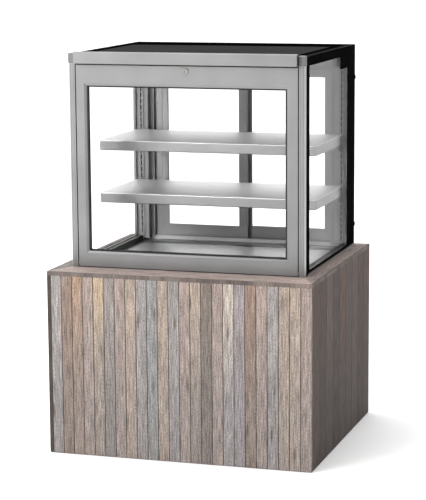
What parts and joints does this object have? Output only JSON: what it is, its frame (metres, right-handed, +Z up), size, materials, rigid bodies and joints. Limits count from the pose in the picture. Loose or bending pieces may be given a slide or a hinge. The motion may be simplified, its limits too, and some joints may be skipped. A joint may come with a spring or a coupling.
{
  "type": "bakery display case",
  "caption": "Refrigerated glass display case with shelves, tilting front door and sliding rear doors, set on a wood-plank counter.",
  "frame": {"origin": "middle of the counter's footprint, on the floor", "axes": "+Z up, +Y from the customer's front to the server's back, +X across the front"},
  "size_m": [1.028, 0.932, 1.5175],
  "materials": {
    "weathered_plank": "weathered reclaimed board, matt",
    "trim_board": "weathered board, matt",
    "carcass_plywood": "raw birch plywood",
    "anodised_frame": "satin anodised",
    "cap_metal": "satin anodised",
    "rear_frame_metal": "satin anodised",
    "shelf_steel": "light grey powder coat",
    "bracket_metal": "dark grey powder coat",
    "deck_steel": "satin sheet",
    "insulated_liner": "foam-cored liner with a satin metal skin",
    "black_rail": "black glazing channel",
    "canopy_metal": "grey powder coat",
    "louvre_steel": "grey powder coat",
    "clear_glass": "polished float glass",
    "dark_glass": "tempered glass printed dark on its underside",
    "gasket_rubber": "extruded black rubber",
    "lamp_diffuser": "opal diffuser",
    "lock_nickel": "nickel plate",
    "coil_aluminium": "mill finish fins",
    "machine_metal": "black enamel",
    "fan_plastic": "moulded black plastic",
    "black_plastic": "moulded black plastic",
    "button_plastic": "moulded grey plastic"
  },
  "bodies": {
    "case": {"counter_front_panel": "carcass_plywood", "counter_left_panel": "carcass_plywood", "counter_right_panel": "carcass_plywood", "counter_floor": "carcass_plywood", "counter_rear_frame": "carcass_plywood", "front_planks": "weathered_plank", "left_planks": "weathered_plank", "right_planks": "weathered_plank", "top_trim_front": "trim_board", "top_trim_left": "trim_board", "top_trim_right": "trim_board", "top_trim_rear": "trim_board", "rear_louvre_panel": "louvre_steel", "base_tub": "insulated_liner", "deck_pan": "deck_steel", "deck_grille": "deck_steel", "base_rail_left": "black_rail", "base_rail_right": "black_rail", "front_post_left": "anodised_frame", "front_post_right": "anodised_frame", "post_caps": "cap_metal", "rear_post_left": "rear_frame_metal", "rear_post_right": "rear_frame_metal", "front_header": "anodised_frame", "header_lamp": "lamp_diffuser", "side_top_rail_left": "cap_metal", "side_top_rail_right": "cap_metal", "top_canopy": "canopy_metal", "side_glazing_left": "clear_glass", "side_glazing_right": "clear_glass", "top_glass": "dark_glass", "glass_studs": "black_plastic", "shelf_standard_left": "rear_frame_metal", "shelf_standard_right": "rear_frame_metal", "upper_shelf": "shelf_steel", "lower_shelf": "shelf_steel", "upper_shelf_brackets": "bracket_metal", "lower_shelf_brackets": "bracket_metal", "rear_lower_track": "rear_frame_metal", "rear_upper_track": "rear_frame_metal", "evaporator_coil": "coil_aluminium", "condensing_unit": "machine_metal", "control_panel": "black_plastic"},
    "front_door": {"front_door_top_rail": "anodised_frame", "front_door_bottom_rail": "anodised_frame", "front_door_left_stile": "anodised_frame", "front_door_right_stile": "anodised_frame", "front_door_glass": "clear_glass", "front_door_gaskets": "gasket_rubber", "front_door_lock": "lock_nickel"},
    "door_lock": {"lock_cylinder": "lock_nickel"},
    "rear_left_door": {"rear_left_door_frame": "rear_frame_metal", "rear_left_door_glass": "clear_glass"},
    "rear_right_door": {"rear_right_door_frame": "rear_frame_metal", "rear_right_door_glass": "clear_glass"},
    "evaporator_wheel": {"evaporator_fan": "fan_plastic"},
    "condenser_wheel": {"condenser_fan": "fan_plastic"},
    "lamp_rocker": {"light_switch": "black_plastic"},
    "thermostat_up": {"button_up": "button_plastic"},
    "thermostat_down": {"button_down": "button_plastic"}
  },
  "joints": [
    {"name": "front_door_tilt", "type": "hinge", "parent": "case", "child": "front_door", "pos_m": [0, -0.341, 0.716], "axis": [1, 0, 0], "range_deg": [0, 85]},
    {"name": "door_lock_turn", "type": "hinge", "parent": "front_door", "child": "door_lock", "pos_m": [0, -0.33, 1.449], "axis": [0, -1, 0], "range_deg": [0, 90]},
    {"name": "rear_left_door_slide", "type": "slide", "parent": "case", "child": "rear_left_door", "axis": [1, 0, 0], "range_m": [0, 0.34]},
    {"name": "rear_right_door_slide", "type": "slide", "parent": "case", "child": "rear_right_door", "axis": [-1, 0, 0], "range_m": [0, 0.34]},
    {"name": "evaporator_fan_spin", "type": "hinge", "parent": "case", "child": "evaporator_wheel", "pos_m": [0, 0.15, 0.634], "axis": [0, 1, 0], "continuous": true},
    {"name": "condenser_fan_spin", "type": "hinge", "parent": "case", "child": "condenser_wheel", "pos_m": [0.15, 0.33, 0.21], "axis": [0, 1, 0], "continuous": true},
    {"name": "light_switch_rock", "type": "hinge", "parent": "case", "child": "lamp_rocker", "pos_m": [0.07, 0.4305, 1.47], "axis": [1, 0, 0], "range_deg": [0, 16]},
    {"name": "button_up_press", "type": "slide", "parent": "case", "child": "thermostat_up", "axis": [0, -1, 0], "range_m": [0, 0.0012], "stiffness_N_per_m": 400},
    {"name": "button_down_press", "type": "slide", "parent": "case", "child": "thermostat_down", "axis": [0, -1, 0], "range_m": [0, 0.0012], "stiffness_N_per_m": 400}
  ]
}
